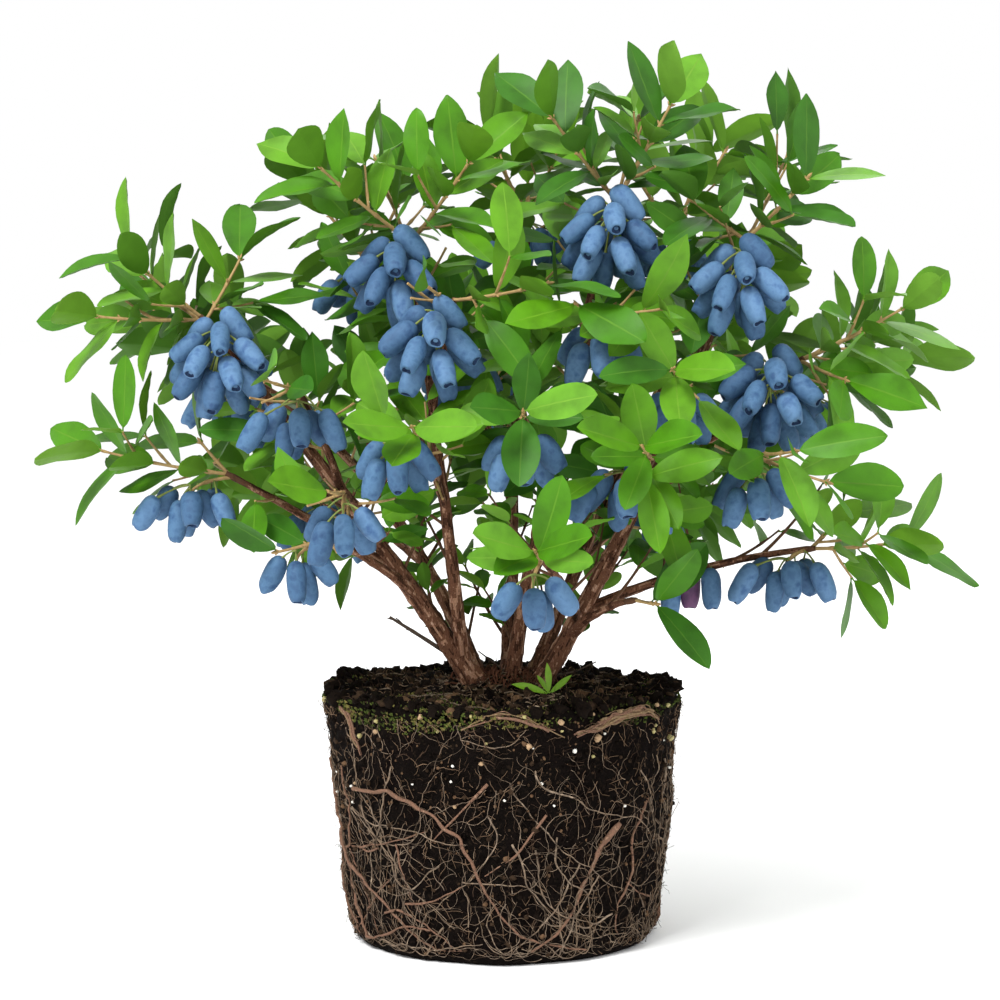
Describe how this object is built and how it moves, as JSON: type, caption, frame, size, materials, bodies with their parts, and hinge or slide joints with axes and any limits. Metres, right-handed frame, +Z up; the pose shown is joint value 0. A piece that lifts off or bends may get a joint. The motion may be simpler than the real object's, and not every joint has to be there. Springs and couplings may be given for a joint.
{
  "type": "haskap bush on root ball",
  "caption": "Fruiting haskap bush with branching stems, pointed green leaves and hanging blue fruit, standing on the bare root ball that its pot left.",
  "frame": {"origin": "middle of the flat underside of the root ball", "axes": "+Z up along the root ball, -Y towards the side that the picture shows, +X to its right"},
  "size_m": [0.5796, 0.4995, 0.5308],
  "materials": {
    "root_ball": "moist dark compost",
    "bark": "flaky red brown bark",
    "dead_wood": "dry grey bark",
    "foliage": "satin green leaves",
    "shoot": "smooth tan young bark",
    "fruit": "blue skin with a dull bloom",
    "root": "matt tan roots"
  },
  "bodies": {
    "root": {"root_ball": "root_ball", "stem_left": "bark", "stem_right": "bark", "stem_centre": "bark", "stem_right_rear": "bark", "stem_back_left": "bark", "stem_back": "bark", "stem_centre_left": "bark", "bough_centre_left": "bark", "bough_front_left": "bark", "bough_centre": "bark", "bough_front_centre": "bark", "bough_left_inner": "bark", "bough_far_left_lower": "bark", "bough_left_lower": "bark", "bough_front_left_low": "bark", "bough_right": "bark", "bough_front_low": "bark", "bough_front_right": "bark", "bough_front_right_upper": "bark", "bough_right_low": "bark", "bough_far_right_lower": "bark", "bough_low_right": "bark", "bough_right_back": "bark", "bough_back_low_right": "bark", "bough_back_upper_right": "bark", "bough_back_upper_left": "bark", "bough_back_low_left": "bark", "bough_inner": "bark", "bough_back_centre": "bark", "twig_dead": "dead_wood", "spray_upper_left": "foliage", "spray_centre_left": "foliage", "spray_upper_centre": "foliage", "spray_centre": "foliage", "spray_upper_right": "foliage", "spray_right": "foliage", "spray_far_left_upper": "foliage", "spray_left_inner": "foliage", "spray_far_left_lower": "foliage", "spray_left_lower": "foliage", "spray_front_low": "foliage", "spray_front_left": "foliage", "spray_front_centre": "foliage", "spray_front_right": "foliage", "spray_front_right_upper": "foliage", "spray_right_low": "foliage", "spray_far_right_lower": "foliage", "spray_low_right": "foliage", "spray_front_left_low": "foliage", "spray_back_upper_left": "foliage", "spray_back_left": "foliage", "spray_back_upper": "foliage", "spray_inner": "foliage", "spray_back_centre": "foliage", "spray_back_right": "foliage", "spray_right_back": "foliage", "spray_back_low_left": "foliage", "spray_back_low_right": "foliage", "spray_back_upper_right": "foliage"}
  },
  "joints": []
}
